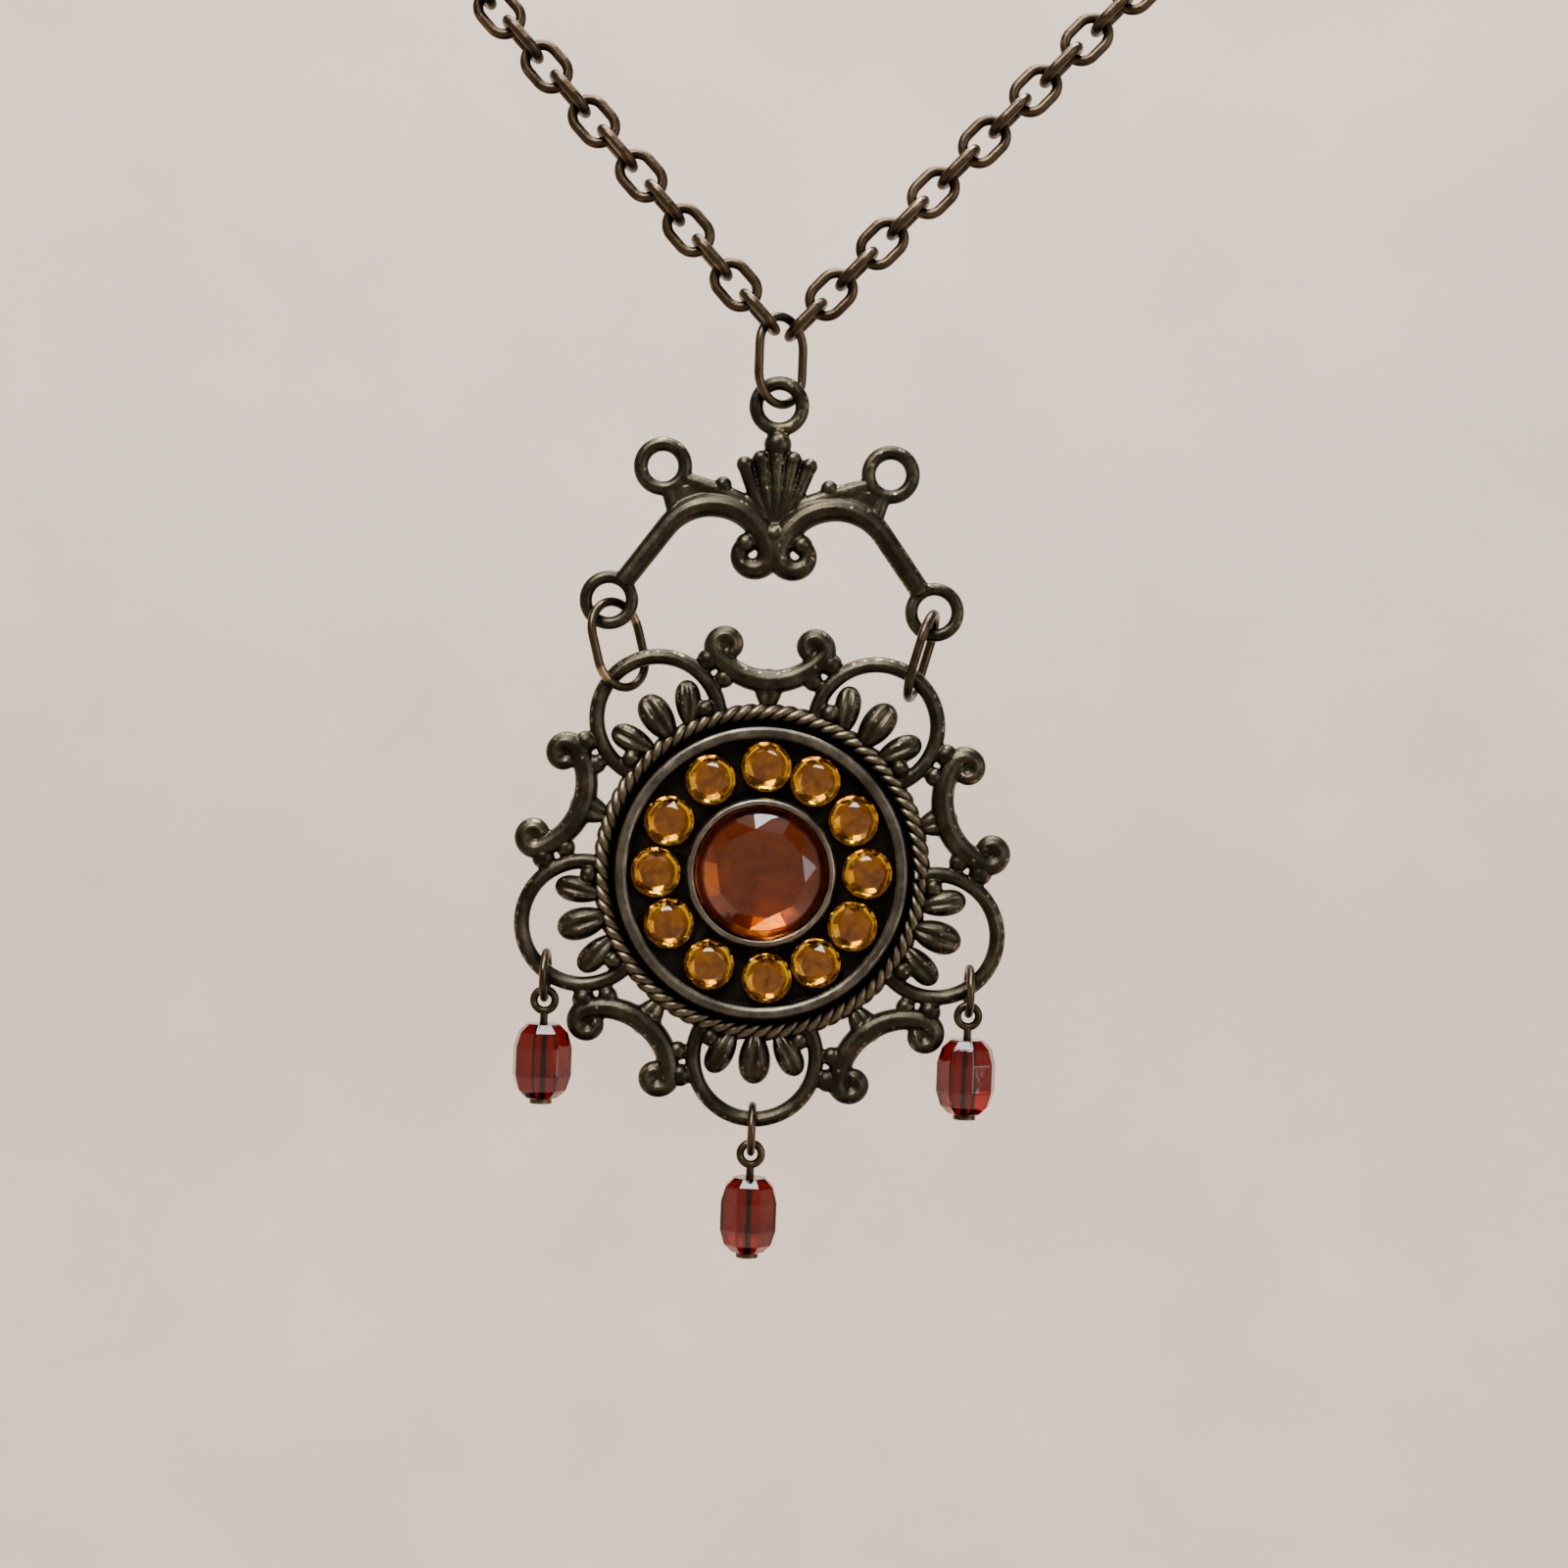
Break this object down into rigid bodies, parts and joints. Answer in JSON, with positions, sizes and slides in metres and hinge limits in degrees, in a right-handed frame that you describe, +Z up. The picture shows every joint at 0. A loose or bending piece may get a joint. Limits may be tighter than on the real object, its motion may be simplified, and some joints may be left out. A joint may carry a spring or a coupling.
{
  "type": "pendant necklace",
  "caption": "Antique-bronze cable-chain necklace with an openwork round pendant of scrolls and lobes, glass stones in a cup and faceted bead drops, closed by a lobster clasp.",
  "frame": {"origin": "at the nape, in the middle of the clasp", "axes": "+Z up as worn, +X to the right of a person who looks at the pendant, the front faces -Y"},
  "size_m": [0.138, 0.1176, 0.1797],
  "materials": {
    "chain_bronze": "darkened antique brass with lighter worn edges",
    "wire_bronze": "darkened antique brass wire",
    "cast_bronze": "cast antique bronze, nearly black in the recesses",
    "cup_bronze": "dull dark bronze, turned",
    "amber_glass": "faceted golden amber glass",
    "deep_amber_glass": "faceted reddish amber glass",
    "garnet_glass": "faceted garnet-red glass",
    "spring_steel": "drawn wire"
  },
  "bodies": {
    "neck": {"neck_chain_left_1": "chain_bronze", "neck_chain_left_2": "chain_bronze", "neck_chain_left_3": "chain_bronze", "neck_chain_left_4": "chain_bronze", "neck_chain_right_1": "chain_bronze", "neck_chain_right_2": "chain_bronze", "neck_chain_right_3": "chain_bronze", "neck_chain_right_4": "chain_bronze", "clasp_body": "cast_bronze", "clasp_rivet": "cast_bronze", "clasp_spring": "spring_steel", "clasp_ring": "wire_bronze", "end_ring": "wire_bronze"},
    "front": {"front_chain_left": "chain_bronze", "front_chain_right": "chain_bronze"},
    "bail": {"bail_ring": "wire_bronze"},
    "connector": {"connector": "cast_bronze"},
    "ring_left": {"side_ring_left": "wire_bronze"},
    "ring_right": {"side_ring_right": "wire_bronze"},
    "medallion": {"medallion_frame": "cast_bronze", "stone_cup": "cup_bronze", "centre_bezel": "cup_bronze", "centre_stone": "deep_amber_glass", "amber_stone_01": "amber_glass", "amber_stone_02": "amber_glass", "amber_stone_03": "amber_glass", "amber_stone_04": "amber_glass", "amber_stone_05": "amber_glass", "amber_stone_06": "amber_glass", "amber_stone_07": "amber_glass", "amber_stone_08": "amber_glass", "amber_stone_09": "amber_glass", "amber_stone_10": "amber_glass", "amber_stone_11": "amber_glass", "amber_stone_12": "amber_glass"},
    "lever": {"clasp_lever": "cast_bronze"},
    "drop_ring_left": {"drop_ring_left": "wire_bronze"},
    "headpin_left": {"headpin_left": "wire_bronze"},
    "bead_left": {"bead_left": "garnet_glass"},
    "drop_ring_centre": {"drop_ring_centre": "wire_bronze"},
    "headpin_centre": {"headpin_centre": "wire_bronze"},
    "bead_centre": {"bead_centre": "garnet_glass"},
    "drop_ring_right": {"drop_ring_right": "wire_bronze"},
    "headpin_right": {"headpin_right": "wire_bronze"},
    "bead_right": {"bead_right": "garnet_glass"}
  },
  "joints": [
    {"name": "front_swing", "type": "hinge", "parent": "neck", "child": "front", "pos_m": [0.00002, -0.112, -0.06241], "axis": [1, 0, 0], "range_deg": [-13, 13]},
    {"name": "bail_swing", "type": "hinge", "parent": "front", "child": "bail", "pos_m": [0, -0.112, -0.10562], "axis": [0.7071, 0.7071, 0], "range_deg": [-10, 10]},
    {"name": "connector_swing", "type": "hinge", "parent": "bail", "child": "connector", "pos_m": [0, -0.112, -0.1116], "axis": [1, 0, 0], "range_deg": [-15, 15]},
    {"name": "side_ring_left_swing", "type": "hinge", "parent": "connector", "child": "ring_left", "pos_m": [-0.0123, -0.112, -0.127], "axis": [1, 0, 0], "range_deg": [-12, 12]},
    {"name": "side_ring_right_swing", "type": "hinge", "parent": "connector", "child": "ring_right", "pos_m": [0.0123, -0.112, -0.127], "axis": [1, 0, 0], "range_deg": [-12, 12]},
    {"name": "medallion_swing", "type": "hinge", "parent": "ring_left", "child": "medallion", "pos_m": [-0.01059, -0.112, -0.13337], "axis": [1, 0, 0], "range_deg": [-12, 12]},
    {"name": "drop_ring_left_swing", "type": "hinge", "parent": "medallion", "child": "drop_ring_left", "pos_m": [-0.016, -0.112, -0.15507], "axis": [1, 0, 0], "range_deg": [-30, 30]},
    {"name": "headpin_left_swing", "type": "hinge", "parent": "drop_ring_left", "child": "headpin_left", "pos_m": [-0.016, -0.112, -0.15708], "axis": [0, 1, 0], "range_deg": [0, 30]},
    {"name": "bead_left_spin", "type": "hinge", "parent": "headpin_left", "child": "bead_left", "pos_m": [-0.016, -0.112, -0.16178], "axis": [0, 0, 1], "continuous": true},
    {"name": "drop_ring_centre_swing", "type": "hinge", "parent": "medallion", "child": "drop_ring_centre", "pos_m": [0, -0.112, -0.1656], "axis": [1, 0, 0], "range_deg": [-30, 30]},
    {"name": "headpin_centre_swing", "type": "hinge", "parent": "drop_ring_centre", "child": "headpin_centre", "pos_m": [0, -0.112, -0.16809], "axis": [0, 1, 0], "range_deg": [-30, 30]},
    {"name": "bead_centre_spin", "type": "hinge", "parent": "headpin_centre", "child": "bead_centre", "pos_m": [0, -0.112, -0.17279], "axis": [0, 0, 1], "continuous": true},
    {"name": "drop_ring_right_swing", "type": "hinge", "parent": "medallion", "child": "drop_ring_right", "pos_m": [0.016, -0.112, -0.15507], "axis": [1, 0, 0], "range_deg": [-30, 30]},
    {"name": "headpin_right_swing", "type": "hinge", "parent": "drop_ring_right", "child": "headpin_right", "pos_m": [0.016, -0.112, -0.15708], "axis": [0, 1, 0], "range_deg": [-30, 0]},
    {"name": "bead_right_spin", "type": "hinge", "parent": "headpin_right", "child": "bead_right", "pos_m": [0.016, -0.112, -0.16178], "axis": [0, 0, 1], "continuous": true},
    {"name": "lever_hinge", "type": "hinge", "parent": "neck", "child": "lever", "pos_m": [-0.0012, 0, 0.0009], "axis": [0, 1, 0], "range_deg": [0, 13], "stiffness_Nm_per_rad": 0.0001}
  ],
  "couplings": [
    {"joint": "side_ring_right_swing", "follows": "side_ring_left_swing", "ratio": 1}
  ]
}
